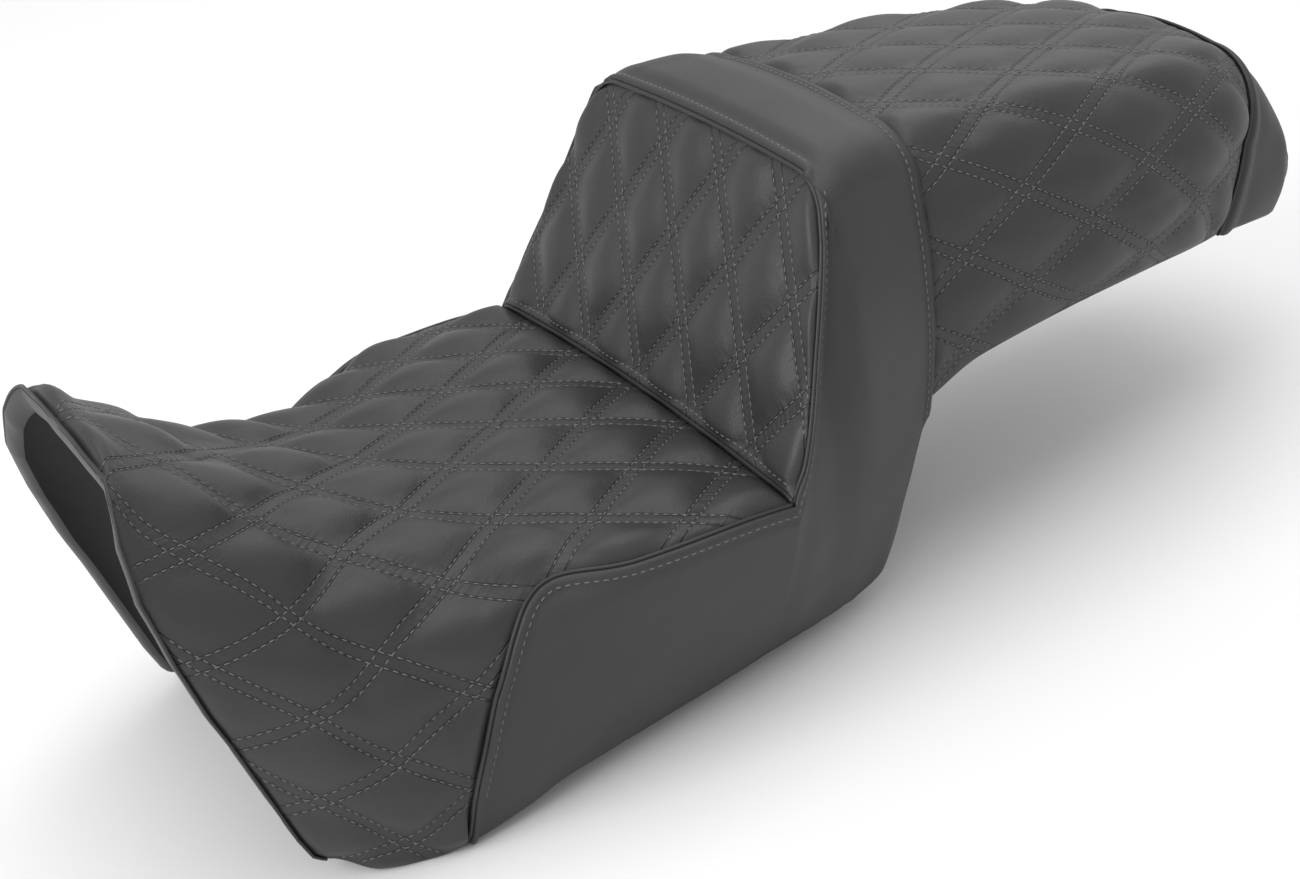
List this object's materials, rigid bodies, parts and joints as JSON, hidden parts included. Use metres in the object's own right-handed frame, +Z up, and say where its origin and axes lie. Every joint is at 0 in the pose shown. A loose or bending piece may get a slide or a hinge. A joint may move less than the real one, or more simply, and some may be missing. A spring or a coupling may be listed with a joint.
{
  "type": "motorcycle seat",
  "caption": "Two-up step motorcycle seat with a diamond-quilted rider seat, backrest face and passenger seat, smooth side panels and an arched nose.",
  "frame": {"origin": "middle of the seat's length and width, on the plane that it rests on", "axes": "+Z up, +Y towards the tail, +X towards the rider's left"},
  "size_m": [0.3761, 0.909, 0.33],
  "materials": {
    "quilted_cover": "black grained vinyl, quilted, semi-matte",
    "smooth_cover": "black grained vinyl, smooth, semi-matte",
    "piping": "black vinyl piping",
    "foam": "moulded seat foam",
    "gel": "soft gel in a film",
    "pan": "black moulded pan",
    "steel_plate": "black powder coat",
    "fixings": "zinc-plated steel",
    "bumper_rubber": "moulded rubber",
    "staple_wire": "stainless wire"
  },
  "bodies": {
    "root": {"rider_cover": "quilted_cover", "backrest_cover": "quilted_cover", "passenger_cover": "quilted_cover", "side_and_band_cover": "smooth_cover", "tail_cover": "smooth_cover", "nose_rim": "smooth_cover", "left_side_welt": "piping", "right_side_welt": "piping", "backrest_welt": "piping", "band_rear_welt": "piping", "tail_welt": "piping", "rider_foam": "foam", "backrest_foam": "foam", "passenger_foam": "foam", "rider_gel_pad": "gel", "passenger_gel_pad": "gel", "base_pan": "pan", "front_tongue": "steel_plate", "rear_mount_tab": "steel_plate", "tongue_rivets": "fixings", "tab_screws": "fixings", "pan_bumpers": "bumper_rubber", "bumper_screws": "fixings", "bumper_washers": "fixings", "bumper_nuts": "fixings", "cover_staples": "staple_wire"}
  },
  "joints": []
}
